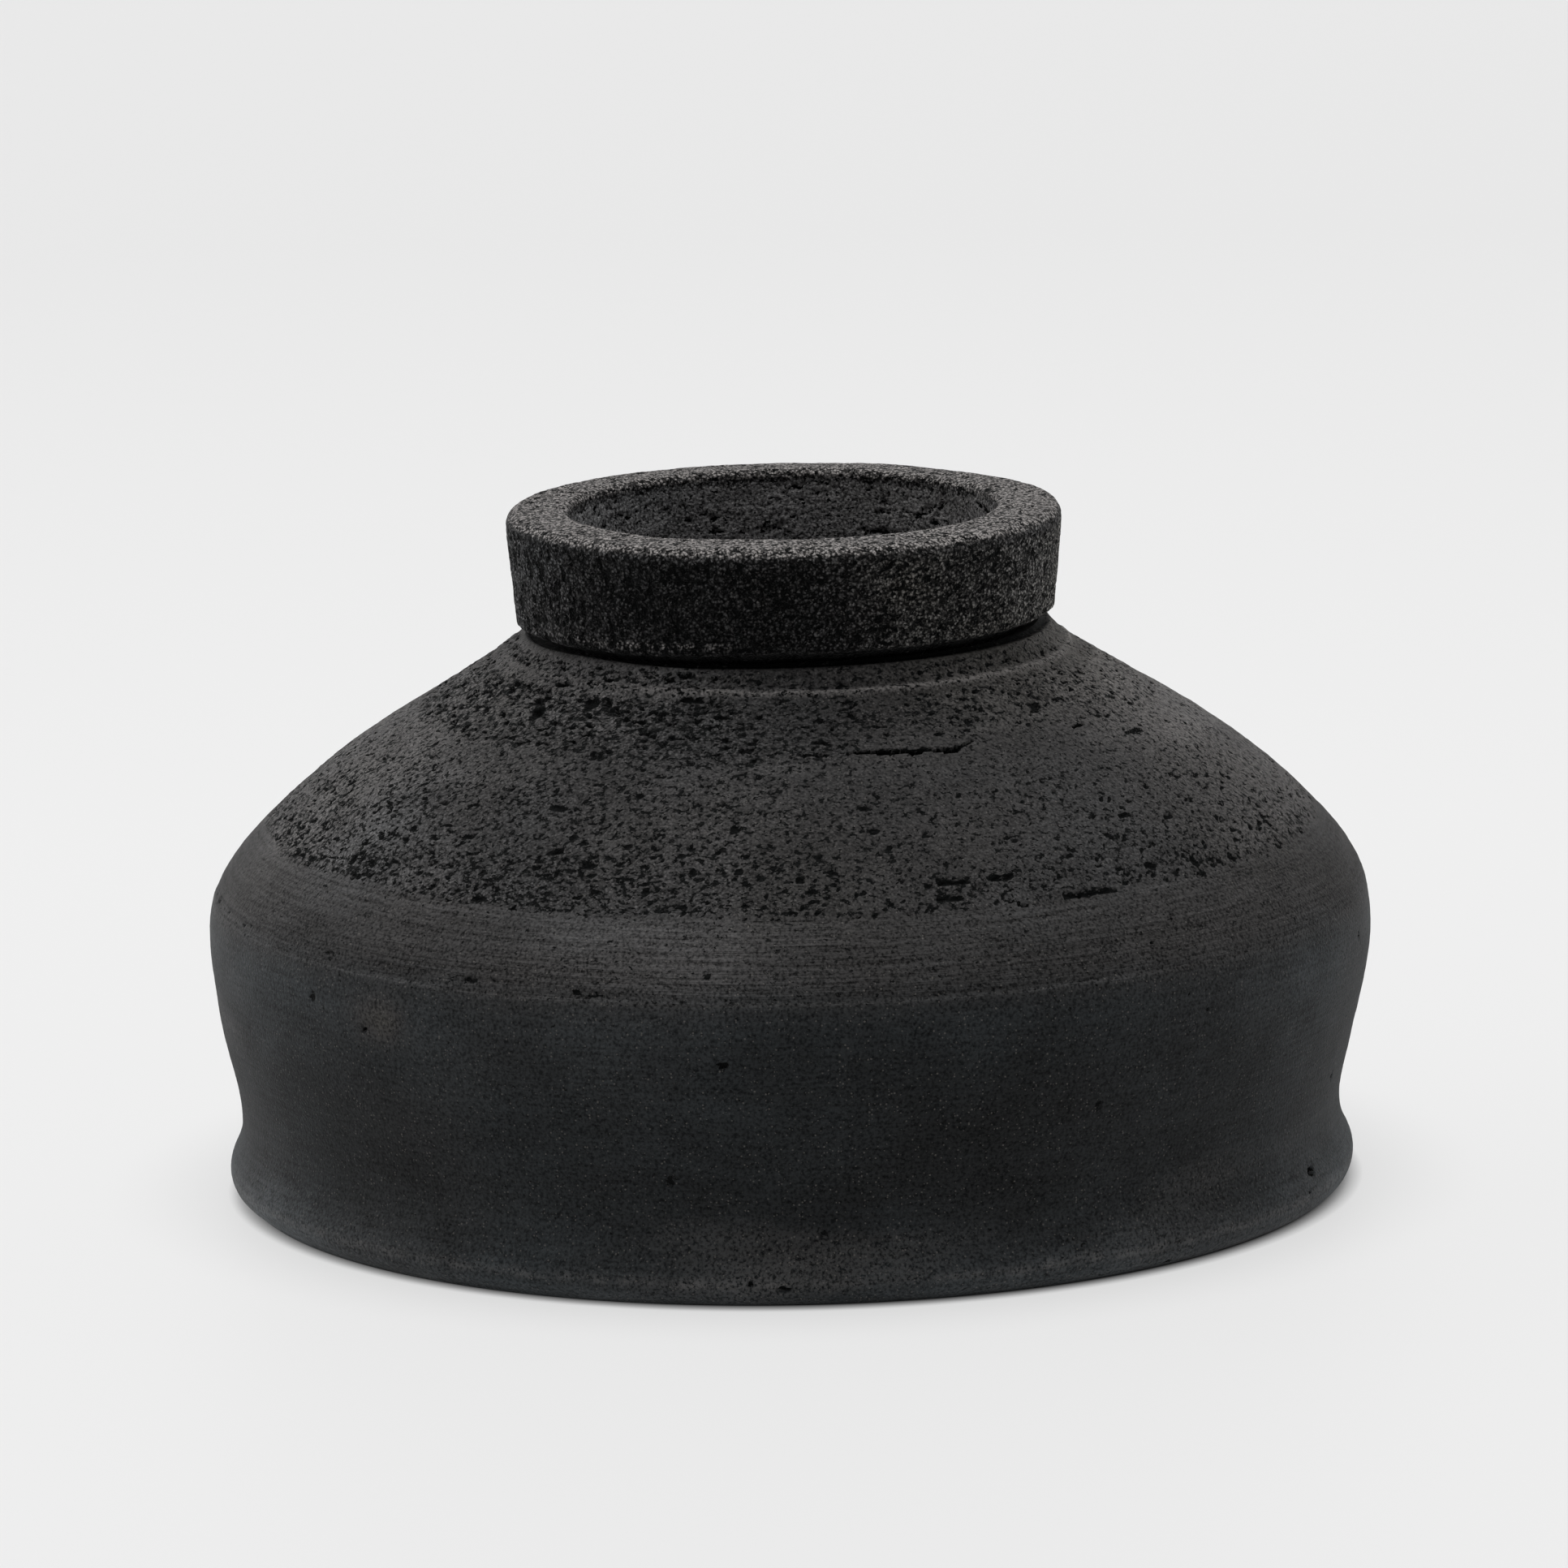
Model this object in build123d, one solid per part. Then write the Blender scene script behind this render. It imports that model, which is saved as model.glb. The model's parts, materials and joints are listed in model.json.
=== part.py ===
"""A coil-built black clay pot: eight luted pieces of clay, each a solid of revolution about +Z.

Millimetres. The origin is the middle of the base, on the surface that the pot stands on.
The body is one wall section, drawn as radius and height, that runs from the middle of the floor
to the flat rim. Bevelled seams divide that section into the pieces that the potter laid one on
the other, so neighbouring pieces meet face to face.
"""
import os
from math import cos, radians, sin, tan

from build123d import *

# Overall size
BELLY_RADIUS = 150.0
BELLY_HEIGHT = 68.5
POT_HEIGHT = 176.6

# Outer line of the body, from the standing edge up to the neck
CONTACT_RADIUS = 141.2
FOOT_RADIUS = 146.0
FOOT_HEIGHT = 7.5
WAIST_RADIUS = 142.3
WAIST_HEIGHT = 20.0
LOWER_WALL_RADIUS = 145.0
LOWER_WALL_HEIGHT = 36.0
SHOULDER_RADIUS = 138.6
SHOULDER_HEIGHT = 93.0
SHOULDER_LEAN = 41.0        # degrees that the wall's face looks up from level
UPPER_SHOULDER_RADIUS = 105.4
UPPER_SHOULDER_HEIGHT = 120.0
UPPER_SHOULDER_LEAN = 56.0
NECK_RADIUS = 66.4
NECK_HEIGHT = 145.8
NECK_RISE = 40.0            # degrees from level, where the shoulder runs in under the collar

# Thickness of the clay, measured square to the wall
FLOOR_THICKNESS = 11.0
WALL_THICKNESS = 10.0
SHOULDER_THICKNESS = 9.0
NECK_THICKNESS = 11.0
CORNER_RADIUS = 13.0        # inside corner between floor and wall

# Collar: a thick upright ring with a bevelled lower edge and a soft rim
MOUTH_RADIUS = 55.5
THROAT_HEIGHT = 139.0       # where the shoulder's inner face turns up into the throat
THROAT_TURN = 10.0          # how far out from the neck that face is one neck thickness deep
COLLAR_FOOT_RADIUS = 69.3
COLLAR_RIM_RADIUS = 71.4
COLLAR_BEVEL = 2.4
RIM_OUTER_ROUND = 3.3
RIM_INNER_ROUND = 1.8

# Seams: height on the outside of each one, and how steeply they all fall inwards
FOOT_SEAM = 21.0
LOWER_WALL_SEAM = 77.0
BELLY_SEAM = 96.0
LOWER_SHOULDER_SEAM = 128.0
UPPER_SHOULDER_SEAM = 140.5
COLLAR_SEAM = NECK_HEIGHT
SEAM_FALL = 20.0            # degrees from level
SLAB_RADIUS = 124.0         # floor slab at the ground, wider than at its top by the bevel
SLAB_BEVEL = 8.0

UP = (0, 1)
DOWN = (0, -1)
REACH = 200.0               # further than any point of the section


def outer_line():
    """Outside of the body, from the standing edge up to the neck."""
    contact = (CONTACT_RADIUS, 0)
    foot = (FOOT_RADIUS, FOOT_HEIGHT)
    waist = (WAIST_RADIUS, WAIST_HEIGHT)
    lower_wall = (LOWER_WALL_RADIUS, LOWER_WALL_HEIGHT)
    belly = (BELLY_RADIUS, BELLY_HEIGHT)
    shoulder = (SHOULDER_RADIUS, SHOULDER_HEIGHT)
    upper_shoulder = (UPPER_SHOULDER_RADIUS, UPPER_SHOULDER_HEIGHT)
    neck = (NECK_RADIUS, NECK_HEIGHT)
    inwards = (-cos(radians(NECK_RISE)), sin(radians(NECK_RISE)))
    return [
        Spline(contact, foot, tangents=[(1, 1), UP]),
        Spline(foot, waist, tangents=[UP, UP]),
        Spline(waist, lower_wall, belly, tangents=[UP, UP]),
        Spline(belly, shoulder, upper_shoulder, neck, tangents=[UP, inwards]),
    ]


def collar_line():
    """Outside of the collar and its flat rim, from the neck to the upper edge of the mouth."""
    neck = (NECK_RADIUS, NECK_HEIGHT)
    foot = (COLLAR_FOOT_RADIUS, NECK_HEIGHT + COLLAR_BEVEL)
    side = (COLLAR_RIM_RADIUS, POT_HEIGHT - RIM_OUTER_ROUND)
    rim_outer = (COLLAR_RIM_RADIUS - RIM_OUTER_ROUND, POT_HEIGHT)
    rim_inner = (MOUTH_RADIUS + RIM_INNER_ROUND, POT_HEIGHT)
    mouth = (MOUTH_RADIUS, POT_HEIGHT - RIM_INNER_ROUND)
    return [
        Line(neck, foot),
        Line(foot, side),
        RadiusArc(side, rim_outer, -RIM_OUTER_ROUND),
        Line(rim_outer, rim_inner),
        RadiusArc(rim_inner, mouth, -RIM_INNER_ROUND),
    ]


def inside(radius, height, lean, thickness):
    """The point that lies one thickness inside a wall whose face looks up by lean degrees."""
    return (
        radius - thickness * cos(radians(lean)),
        height - thickness * sin(radians(lean)),
    )


def inner_line():
    """Inside of the throat, wall and floor, from the upper edge of the mouth to the middle."""
    mouth = (MOUTH_RADIUS, POT_HEIGHT - RIM_INNER_ROUND)
    throat = (MOUTH_RADIUS, THROAT_HEIGHT)
    below_neck = NECK_HEIGHT - THROAT_TURN * tan(radians(NECK_RISE))
    neck = inside(NECK_RADIUS + THROAT_TURN, below_neck, 90 - NECK_RISE, NECK_THICKNESS)
    upper_shoulder = inside(
        UPPER_SHOULDER_RADIUS, UPPER_SHOULDER_HEIGHT, UPPER_SHOULDER_LEAN, SHOULDER_THICKNESS
    )
    shoulder = inside(SHOULDER_RADIUS, SHOULDER_HEIGHT, SHOULDER_LEAN, SHOULDER_THICKNESS)
    belly = (BELLY_RADIUS - WALL_THICKNESS, BELLY_HEIGHT)
    wall_foot = (WAIST_RADIUS - WALL_THICKNESS, FLOOR_THICKNESS + CORNER_RADIUS)
    floor_edge = (wall_foot[0] - CORNER_RADIUS, FLOOR_THICKNESS)
    return [
        Line(mouth, throat),
        Spline(throat, neck, upper_shoulder, shoulder, belly, tangents=[DOWN, DOWN]),
        Spline(belly, wall_foot, tangents=[DOWN, DOWN]),
        RadiusArc(wall_foot, floor_edge, CORNER_RADIUS),
        Line(floor_edge, (0, FLOOR_THICKNESS)),
    ]


def pot_section():
    """Section of the whole pot as one flat face, with X as the radius and Y as the height."""
    base = Polyline((0, FLOOR_THICKNESS), (0, 0), (CONTACT_RADIUS, 0))
    return make_face(outer_line() + collar_line() + inner_line() + [base])


def outer_radius(height):
    """Radius of the outside of the body at a height."""
    level = Line((0, height), (REACH, height))
    crossings = [edge.intersect(level) for edge in outer_line()]
    return max(vertex.X for found in crossings if found for vertex in found)


def above(seam):
    """The part of the section plane above the seam that meets the outside at this height."""
    slope = tan(radians(SEAM_FALL))
    on_axis = seam - outer_radius(seam) * slope
    at_reach = on_axis + REACH * slope
    corners = [(0, on_axis), (REACH, at_reach), (REACH, 2 * REACH), (0, 2 * REACH)]
    return make_face(Polyline(*corners, close=True))


def slab_half():
    """The part of the section plane that the floor slab fills, inside its bevelled edge."""
    top_radius = SLAB_RADIUS - SLAB_BEVEL
    corners = [(0, 0), (SLAB_RADIUS, 0), (top_radius, FLOOR_THICKNESS), (0, FLOOR_THICKNESS)]
    return make_face(Polyline(*corners, close=True))


def wall_section():
    """Section of everything above and round the floor slab."""
    return pot_section() - slab_half()


def turn(section):
    """Stand a section upright and turn it once about the pot's axis."""
    return revolve(Plane.XZ * section, Axis.Z, 360)


def floor_slab():
    """Round slab that the pot was started on."""
    return turn(pot_section() & slab_half())


def foot_coil():
    """First coil, round the edge of the slab, with the rolled foot and the waist above it."""
    return turn(wall_section() - above(FOOT_SEAM))


def lower_wall():
    """Smooth upright wall from the waist to the line where it was joined to the belly."""
    return turn((wall_section() & above(FOOT_SEAM)) - above(LOWER_WALL_SEAM))


def belly_band():
    """Scraped coil that turns the wall inwards over the widest point."""
    return turn((wall_section() & above(LOWER_WALL_SEAM)) - above(BELLY_SEAM))


def lower_shoulder_coil():
    """Rough coil of the shoulder, up to the seam that opened as a crack."""
    return turn((wall_section() & above(BELLY_SEAM)) - above(LOWER_SHOULDER_SEAM))


def upper_shoulder_coil():
    """Rough coil between the cracked seam and the ridge below the neck."""
    return turn((wall_section() & above(LOWER_SHOULDER_SEAM)) - above(UPPER_SHOULDER_SEAM))


def neck_coil():
    """Wiped coil that closes the shoulder and carries the collar."""
    return turn((wall_section() & above(UPPER_SHOULDER_SEAM)) - above(COLLAR_SEAM))


def collar_ring():
    """Thick ring of clay set on the neck, with the flat rim and the mouth."""
    return turn(wall_section() & above(COLLAR_SEAM))


PIECES = [
    floor_slab,
    foot_coil,
    lower_wall,
    belly_band,
    lower_shoulder_coil,
    upper_shoulder_coil,
    neck_coil,
    collar_ring,
]

os.makedirs("parts", exist_ok=True)
for make_piece in PIECES:
    export_step(make_piece(), f"parts/{make_piece.__name__}.step")
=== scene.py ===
"""Looks of the coil-built black clay pot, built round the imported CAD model.

Every piece of clay is one closed ring: an outline of radius and height that is turned about +Z,
with the hand's wobble, the tool marks, the dragged grit and the cracks carved into its outside.
Lengths are millimetres until a mesh is made. Angles are degrees round the pot, from the front
(-Y), with +X at 90. A height "up the wall" is measured along the outline, from the ground.
"""

import json
import math

import bpy
import numpy as np
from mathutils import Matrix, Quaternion, Vector


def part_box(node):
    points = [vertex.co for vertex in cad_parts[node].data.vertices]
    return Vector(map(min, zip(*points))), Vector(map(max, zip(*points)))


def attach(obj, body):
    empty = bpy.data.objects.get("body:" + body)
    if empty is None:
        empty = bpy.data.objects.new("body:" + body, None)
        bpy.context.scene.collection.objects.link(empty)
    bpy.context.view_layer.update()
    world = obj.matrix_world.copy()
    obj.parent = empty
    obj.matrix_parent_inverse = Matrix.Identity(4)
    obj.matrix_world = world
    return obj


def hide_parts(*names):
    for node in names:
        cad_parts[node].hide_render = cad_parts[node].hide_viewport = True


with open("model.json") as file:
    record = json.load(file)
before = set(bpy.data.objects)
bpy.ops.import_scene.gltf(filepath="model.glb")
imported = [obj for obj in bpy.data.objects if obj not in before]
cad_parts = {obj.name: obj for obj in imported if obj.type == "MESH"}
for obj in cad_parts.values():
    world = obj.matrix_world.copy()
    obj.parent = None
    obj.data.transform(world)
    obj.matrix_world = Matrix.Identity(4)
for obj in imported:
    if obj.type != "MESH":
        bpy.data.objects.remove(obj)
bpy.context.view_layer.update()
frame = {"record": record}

MM = 0.001
TURN = 1152                  # points round each coil of the wall
COLLAR_TURN = 960            # and round the collar
SLAB_TURN = 384              # and round the floor slab


# ---------------------------------------------------------------- sizes from the frame

def top_of(node):
    """Highest point of a CAD node, in mm."""
    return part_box(node)[1].z / MM


def radius_of(node):
    """Widest radius of a CAD node, in mm."""
    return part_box(node)[1].x / MM


mouth = next(m for m in frame["record"]["mounts"] if m["name"] == "mouth")
mouth_radius = mouth["dims"]["r_mm"]
foot_radius = radius_of("foot_coil")
belly_radius = radius_of("lower_wall")
rim_radius = radius_of("collar_ring")
rim_height = top_of("collar_ring")
neck_height = top_of("neck_coil")
floor_height = top_of("floor_slab")
slab_radius = radius_of("floor_slab")


# ---------------------------------------------------------------- outlines

def spline(points, step=0.25):
    """A smooth curve through the points: a natural cubic over chord length, evenly sampled."""
    points = np.array(points, float)
    chord = np.r_[0, np.cumsum(np.hypot(*np.diff(points, axis=0).T))]
    gap = np.diff(chord)
    count = len(points)
    matrix = np.zeros((count, count))
    right = np.zeros((count, 2))
    matrix[0, 0] = matrix[-1, -1] = 1
    for i in range(1, count - 1):
        matrix[i, i - 1:i + 2] = gap[i - 1], 2 * (gap[i - 1] + gap[i]), gap[i]
        slopes = np.diff(points[i - 1:i + 2], axis=0) / gap[i - 1:i + 1, None]
        right[i] = 6 * (slopes[1] - slopes[0])
    bend = np.linalg.solve(matrix, right)
    t = np.arange(0, chord[-1], step)
    i = np.clip(np.searchsorted(chord, t, side="right") - 1, 0, count - 2)
    left, span = (t - chord[i])[:, None], gap[i][:, None]
    rest = span - left
    curve = (
        bend[i] * rest**3 / (6 * span)
        + bend[i + 1] * left**3 / (6 * span)
        + (points[i] / span - bend[i] * span / 6) * rest
        + (points[i + 1] / span - bend[i + 1] * span / 6) * left
    )
    return np.vstack([curve, points[-1]])


def arc(centre, radius, start, end, count=12):
    """Points on a round edge, from one direction to another, in degrees."""
    turn = np.radians(np.linspace(start, end, count))
    return np.array(centre) + radius * np.c_[np.cos(turn), np.sin(turn)]


def lengths(line):
    """Distance along a line of points, from its first."""
    return np.r_[0, np.cumsum(np.hypot(*np.diff(line, axis=0).T))]


def resample(line, spacing):
    """The same line with evenly spaced points, about one spacing apart."""
    along = lengths(line)
    count = max(2, int(round(along[-1] / spacing)) + 1)
    t = np.linspace(0, along[-1], count)
    return np.c_[np.interp(t, along, line[:, 0]), np.interp(t, along, line[:, 1])]


body_line = spline([
    (foot_radius - 4.8, 0),
    (foot_radius - 0.9, 3.2),
    (foot_radius, 7.5),
    (foot_radius - 2.5, 14.0),
    (foot_radius - 3.6, 20.5),
    (foot_radius - 1.1, 36.0),
    (belly_radius - 1.2, 55.5),
    (belly_radius, 67.5),
    (radius_of("belly_band"), top_of("lower_wall")),
    (belly_radius - 5.4, 85.5),
    (radius_of("lower_shoulder_coil"), top_of("belly_band")),
    (belly_radius - 31.6, 111.0),
    (radius_of("upper_shoulder_coil"), top_of("lower_shoulder_coil")),
    (radius_of("neck_coil"), top_of("upper_shoulder_coil")),
    (rim_radius - 5.0, neck_height),
])
body_length = lengths(body_line)


def up_the_wall(height):
    """Distance along the body's outline to the point at a height."""
    return float(np.interp(height, body_line[:, 1], body_length))


inner_line = spline([
    (slab_radius - 4.7, floor_height),
    (slab_radius + 4.5, floor_height + 4.0),
    (slab_radius + 8.3, floor_height + 14.0),
    (slab_radius + 12.0, 45.0),
    (belly_radius - 10.0, 68.5),
    (belly_radius - 18.2, 87.1),
    (100.4, 112.5),
    (69.3, 129.6),
    (mouth_radius + 1.2, 134.5),
    (mouth_radius, neck_height - 4.0),
])

COLLAR_BEVEL = 2.4
RIM_OUTER_ROUND = 3.3
RIM_INNER_ROUND = 1.8
collar_line = np.vstack([
    [(rim_radius - 5.0, neck_height), (rim_radius - 2.1, neck_height + COLLAR_BEVEL)],
    arc((rim_radius - RIM_OUTER_ROUND, rim_height - RIM_OUTER_ROUND), RIM_OUTER_ROUND, 0, 90),
    arc((mouth_radius + RIM_INNER_ROUND, rim_height - RIM_INNER_ROUND), RIM_INNER_ROUND, 90, 180),
    [(mouth_radius, neck_height - 4.0)],
])


def between(line, low, high):
    """The stretch of a line from one height to another."""
    along = lengths(line)
    ends = [np.interp(h, line[:, 1], along) for h in (low, high)]
    keep = (along > ends[0]) & (along < ends[1])
    points = [np.interp(ends, along, line[:, k]) for k in (0, 1)]
    return np.vstack([[points[0][0], points[1][0]], line[keep], [points[0][1], points[1][1]]])


# ---------------------------------------------------------------- noise

def scatter(cell, seed):
    """A fixed random number from 0 to 1 for each whole-number cell."""
    x, y, z = (cell[..., k].astype(np.int64).astype(np.uint32) for k in range(3))
    mixed = x * np.uint32(0x8DA6B343) ^ y * np.uint32(0xD8163841) ^ z * np.uint32(0xCB1AB31F)
    mixed ^= np.uint32((seed * 0x9E3779B1) & 0xFFFFFFFF)
    mixed ^= mixed >> np.uint32(15)
    mixed *= np.uint32(0x2C1B3C6D)
    mixed ^= mixed >> np.uint32(12)
    mixed *= np.uint32(0x297A2D39)
    mixed ^= mixed >> np.uint32(15)
    return mixed.astype(float) / 2**32


def noise(place, seed):
    """Smooth noise from -1 to 1, with one bump or hollow to a unit."""
    cell = np.floor(place)
    part = place - cell
    ease = part**3 * (part * (part * 6 - 15) + 10)
    total = np.zeros(place.shape[:-1])
    for corner in np.ndindex(2, 2, 2):
        weight = np.prod(np.where(corner, ease, 1 - ease), axis=-1)
        total += weight * scatter(cell + corner, seed)
    return 2 * total - 1


ROTATION = np.array([[0.36, 0.48, -0.80], [-0.80, 0.60, 0.0], [0.48, 0.64, 0.60]])


def rough(place, size, octaves, seed, gain=0.5):
    """Noise with finer and finer detail. size is the largest feature, in mm."""
    place = place / size
    total, strength = 0, 1
    for octave in range(octaves):
        total = total + strength * noise(place, seed + octave)
        place = (place @ ROTATION.T) * 2.03 + 17.1
        strength *= gain
    return total


def pits(place, size, chance, seed, ragged=0.35):
    """Depth from 0 to 1 of scattered hollows: at most one in each cell of this size."""
    place = place / size
    stray = [noise(place * 2.3 + k * 31.7, seed + 50 + k) for k in range(3)]
    place = place + ragged * np.stack(stray, -1)
    cell = np.floor(place)
    deepest = np.zeros(place.shape[:-1])
    for step in np.ndindex(3, 3, 3):
        home = cell + step - 1
        centre = home + np.stack([scatter(home, seed + k) for k in range(3)], -1)
        reach = 0.22 + 0.42 * scatter(home, seed + 3) ** 2
        there = scatter(home, seed + 4) < chance
        gap = np.linalg.norm(place - centre, axis=-1) / reach
        deepest = np.maximum(deepest, np.where(there, 1 - gap**2, 0))
    return deepest


# Edges, in standard deviations of the noise, that leave these shares of it above them
TORN_SHARES = [0.0, 0.02, 0.05, 0.1, 0.2, 0.3, 0.4, 0.5, 0.7, 1.0]
TORN_EDGES = [4.0, 2.05, 1.64, 1.28, 0.84, 0.52, 0.25, 0.0, -0.52, -3.0]


def torn(place, size, share, seed, gain=0.62, soft=0.9):
    """Depth from 0 to 1 of ragged, torn hollows that cover about this share of the surface."""
    spread = 0.37 / math.sqrt(1 - gain**2)
    height = rough(place, size, 4, seed, gain) / spread
    edge = np.interp(share, TORN_SHARES, TORN_EDGES)
    return smooth_step(-0.35 * soft, 0.65 * soft, height - edge)


def smooth_step(low, high, value):
    """0 below low, 1 above high, and smooth between them."""
    t = np.clip((value - low) / (high - low), 0, 1)
    return t * t * (3 - 2 * t)


def turned(low, high, degrees):
    """A smooth step over degrees from the front that dies away again at the back of the pot."""
    return smooth_step(low, high, degrees) * (1 - smooth_step(110, 170, np.abs(degrees)))


def bump(centre, width, value):
    """1 at the centre, falling to 0 over about two widths."""
    return np.exp(-(((value - centre) / width) ** 2))


# ---------------------------------------------------------------- the surface of the clay

class Skin:
    """The places on a stretch of clay where its surface is carved."""

    def __init__(self, line, along, count):
        turn = np.radians(np.arange(count) * 360.0 / count)
        self.radius = np.repeat(line[:, :1], count, 1)
        self.height = np.repeat(line[:, 1:], count, 1)
        self.along = np.repeat(along[:, None], count, 1)
        self.turn = np.repeat(turn[None, :], len(line), 0)
        self.degrees = (np.degrees(self.turn) + 180) % 360 - 180
        self.at = np.stack([
            self.radius * np.sin(self.turn), -self.radius * np.cos(self.turn), self.height
        ], -1)

    def drawn_out(self, times):
        """Places for noise that is drawn out round the pot, times as long as it is tall."""
        return np.stack([self.at[..., 0] / times, self.at[..., 1] / times, self.along], -1)


def gash(skin, degrees, along, length, height, depth, tilt=0.0, seed=0):
    """A ragged slit or tear: where it is, its size in mm, and how much its right end drops."""
    across = np.radians(skin.degrees - degrees) * skin.radius
    ragged = noise(skin.at / 1.1, 900 + seed) + 0.5 * noise(skin.at / 0.5, 901 + seed)
    share = np.clip(1 - (2 * across / length) ** 2, 0, 1) ** 0.5
    middle = along - tilt * across / length + 0.25 * height * noise(skin.at / 4.0, 902 + seed)
    inside = 1 - np.abs(skin.along - middle) / (0.5 * height * share * (1 + 0.35 * ragged) + 1e-6)
    return -depth * smooth_step(0, 0.55, np.where(share > 0, inside, -1))


BELLY_SEAM = up_the_wall(top_of("lower_wall"))
ROUGH_SEAM = up_the_wall(top_of("belly_band"))
CRACK_SEAM = up_the_wall(top_of("lower_shoulder_coil"))
RIDGE_SEAM = up_the_wall(top_of("upper_shoulder_coil"))
NECK_SEAM = up_the_wall(neck_height)

# Share of the clay that is torn, at distances above the start of the rough shoulder
PIT_HEIGHTS = [-1.0, 0.5, 3.0, 14.0, 18.0, 36.0, 39.0, 50.0, 53.0, 73.0, 74.5, 77.5, 78.5, 81.5, 83.5]
PIT_SHARES = [0.00, 0.26, 0.34, 0.28, 0.20, 0.18, 0.13, 0.11, 0.36, 0.40, 0.08, 0.08, 0.32, 0.30, 0.00]

# Tears that stand out: degrees, distance up the wall, length, height and depth in mm, and drop
TEARS = [
    (16.4, CRACK_SEAM + 0.3, 22.0, 1.7, 2.6, 0.9),
    (25.3, CRACK_SEAM - 0.6, 8.0, 1.9, 2.6, 0.6),
    (28.5, CRACK_SEAM + 0.6, 7.0, 1.0, 1.2, -2.2),
    (17.9, ROUGH_SEAM + 8.6, 9.5, 2.3, 1.0, 0.0),
    (23.6, ROUGH_SEAM + 8.8, 7.5, 2.1, 1.0, 0.0),
    (17.0, ROUGH_SEAM + 3.7, 7.5, 2.0, 0.9, 0.0),
    (33.2, ROUGH_SEAM + 0.8, 16.5, 2.0, 1.0, -0.3),
    (52.2, CRACK_SEAM - 0.2, 5.5, 1.3, 0.9, 0.0),
    (62.5, CRACK_SEAM - 7.4, 8.5, 2.2, 1.0, 0.5),
    (44.5, ROUGH_SEAM + 22.0, 4.0, 2.0, 0.9, 0.0),
    (51.0, ROUGH_SEAM + 18.5, 3.8, 1.6, 0.9, 0.0),
    (49.5, ROUGH_SEAM + 3.4, 2.2, 8.0, 0.9, 0.0),
    (42.7, ROUGH_SEAM + 6.0, 4.0, 2.4, 0.9, 0.0),
    (10.3, ROUGH_SEAM + 26.5, 2.8, 2.0, 0.9, 0.0),
    (9.8, ROUGH_SEAM + 34.5, 3.2, 1.8, 0.9, 0.6),
    (-6.8, ROUGH_SEAM + 28.4, 2.4, 4.8, 0.9, 0.0),
    (-20.5, ROUGH_SEAM + 39.0, 2.2, 3.4, 0.8, 0.0),
    (-28.3, ROUGH_SEAM + 18.4, 3.6, 2.0, 0.9, 0.0),
    (-41.8, ROUGH_SEAM + 19.5, 4.6, 1.9, 0.9, 0.0),
    (-31.3, ROUGH_SEAM + 33.0, 4.2, 1.7, 0.9, 0.0),
    (-49.0, ROUGH_SEAM + 75.2, 4.6, 3.0, 1.1, 0.0),
    (-48.8, ROUGH_SEAM + 64.3, 4.4, 5.0, 1.2, 0.0),
    (-38.6, ROUGH_SEAM + 70.0, 4.4, 4.0, 1.1, 0.0),
    (-18.2, ROUGH_SEAM + 74.2, 6.6, 2.6, 1.1, 0.0),
    (-6.8, ROUGH_SEAM - 37.6, 3.6, 2.4, 0.9, 0.9),
    (-45.4, ROUGH_SEAM - 36.8, 1.3, 1.3, 1.6, 0.0),
    (38.0, ROUGH_SEAM - 15.5, 1.8, 1.0, 0.6, 0.0),
    (41.5, ROUGH_SEAM - 10.0, 1.6, 1.4, 0.6, 0.0),
    (-1.0, 7.2, 3.6, 1.6, 1.0, 0.0),
    (-4.2, 8.6, 2.2, 1.4, 0.9, 0.0),
    (66.0, 14.5, 3.8, 3.0, 1.2, 0.0),
]


GROOVE_DEPTH = 1.5           # of the groove under the collar, from either side


def sway(skin):
    """The body leans a hair to one side at the foot and to the other at the shoulder."""
    foot = -0.8 * (1 - smooth_step(40, 62, skin.height))
    shoulder = 0.5 * bump(98, 16, skin.height)
    return foot + shoulder


def lift(skin):
    """The collar was set on a little askew, so that its lower edge rises from left to right."""
    near = smooth_step(neck_height - 5, neck_height, skin.height)
    near = near * (1 - smooth_step(neck_height + 3, neck_height + 14, skin.height))
    outside = smooth_step(58, 64, skin.radius)
    rise = 1.1 * (1 + np.sin(skin.turn)) + 1.2 * bump(0, 45, skin.degrees)
    return rise * near * outside


def hand_wobble(skin):
    """Slow unevenness that the hand left round the pot."""
    return 0.45 * rough(skin.drawn_out(1.5), 70, 2, 3) + 0.16 * rough(skin.drawn_out(5), 13, 2, 7)


def scraped_share(up, coarse):
    """1 where the clay was drawn level: the belly, and the neck above the coarse shoulder."""
    return smooth_step(BELLY_SEAM - 3, BELLY_SEAM + 2, up) * (1 - coarse)


def scraped_lines(skin, coarse):
    """Fine level lines left by the scraper, fainter ones on the smooth wall, and the grain."""
    scraped = scraped_share(skin.along, coarse)
    lines = rough(skin.drawn_out(70), 1.1, 2, 71)
    strength = 0.35 + 0.65 * turned(-30, 25, skin.degrees)
    smooth = 1 - np.maximum(coarse, scraped)
    relief = 0.085 * scraped * lines * strength
    relief = relief + 0.030 * smooth * rough(skin.drawn_out(14), 2.2, 2, 75)
    return relief + 0.028 * rough(skin.at, 1.3, 2, 77)


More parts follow.
